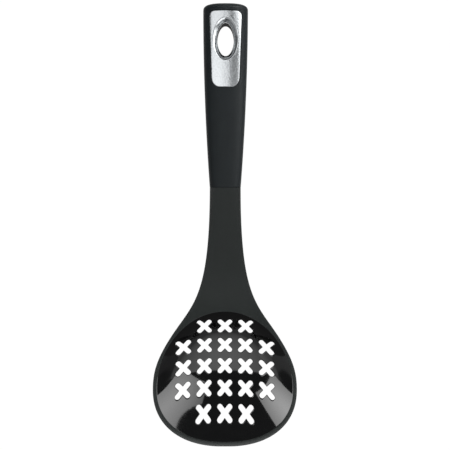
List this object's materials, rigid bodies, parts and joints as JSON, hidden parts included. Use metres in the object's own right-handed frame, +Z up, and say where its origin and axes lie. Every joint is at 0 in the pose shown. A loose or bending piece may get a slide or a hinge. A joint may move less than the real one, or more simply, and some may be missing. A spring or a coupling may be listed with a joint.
{
  "type": "slotted ladle",
  "caption": "Slotted serving ladle: deep nylon bowl with X-shaped drain slots, flared neck, soft-grip handle and a satin metal plate with an oval hang eye.",
  "frame": {"origin": "middle of the bounding box at the table that the ladle lies on", "axes": "+Y along the tool towards the handle end, +Z up out of the open bowl, +X across to the right of a viewer who looks down with the handle end away"},
  "size_m": [0.1034, 0.3178, 0.0683],
  "materials": {
    "nylon": "fine matte outside, polished inside the bowl",
    "soft_grip": "soft-touch satin",
    "core_plastic": "as moulded",
    "satin_metal": "bead-blasted satin with a polished dish",
    "liner_plastic": "satin"
  },
  "bodies": {
    "root": {"spoon_head": "nylon", "soft_grip": "soft_grip", "core_front": "core_plastic", "core_back": "core_plastic", "hang_plate": "satin_metal", "hang_liner": "liner_plastic"}
  },
  "joints": []
}
